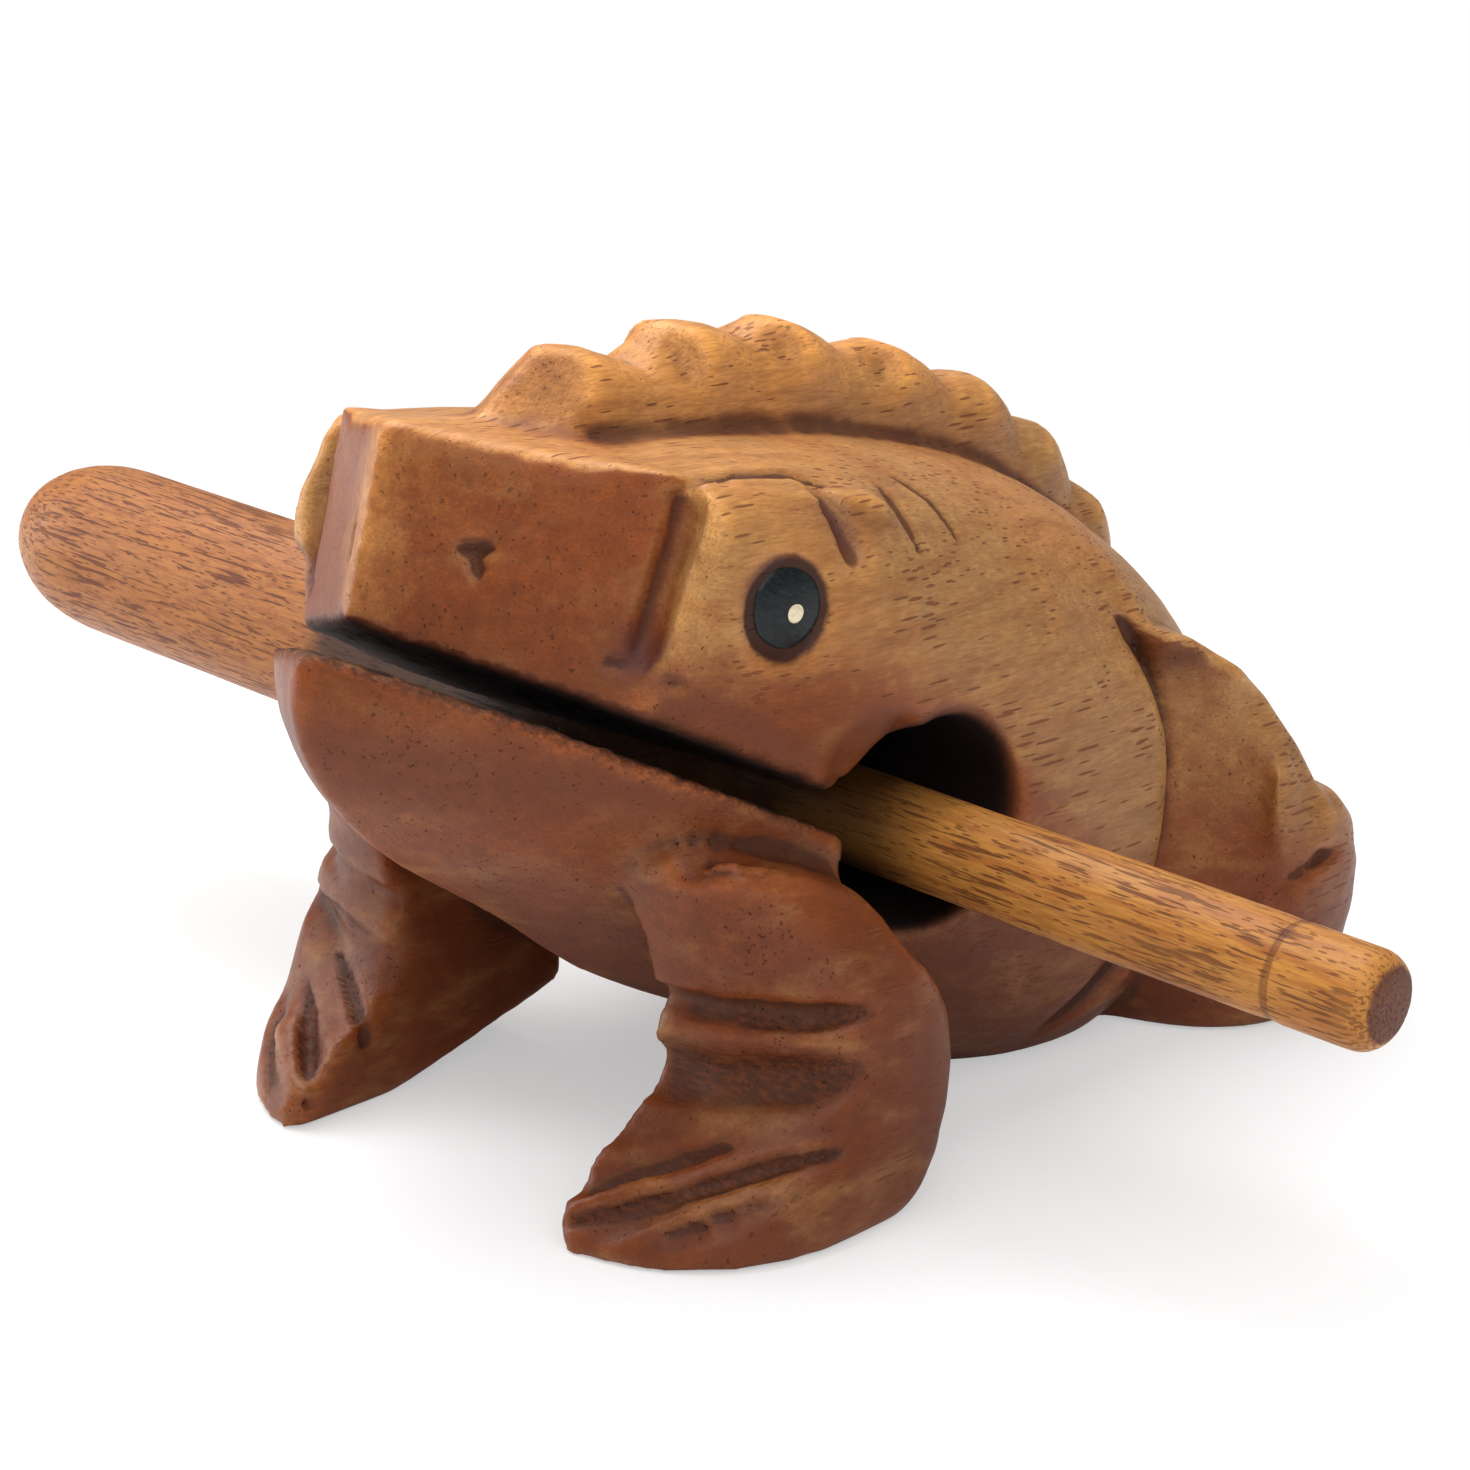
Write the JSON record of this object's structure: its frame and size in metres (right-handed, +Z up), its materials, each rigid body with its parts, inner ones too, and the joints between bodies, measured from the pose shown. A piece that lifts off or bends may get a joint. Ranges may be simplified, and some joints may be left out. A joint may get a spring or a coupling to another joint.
{
  "type": "frog guiro",
  "caption": "Carved wooden frog guiro with a serrated crest along its back, an open mouth and a turned rasp stick kept in the bore across its body.",
  "frame": {"origin": "middle of the flat that the belly rests on", "axes": "+Z up, -Y the way the frog looks, +X the frog's own left side, where the thin end of the stick comes out"},
  "size_m": [0.1701, 0.109, 0.0706],
  "materials": {
    "frog_wood": "stained and lacquered, satin",
    "stick_wood": "stained and lacquered, satin"
  },
  "bodies": {
    "root": {"frog_body": "frog_wood", "rasp_stick": "stick_wood"}
  },
  "joints": []
}
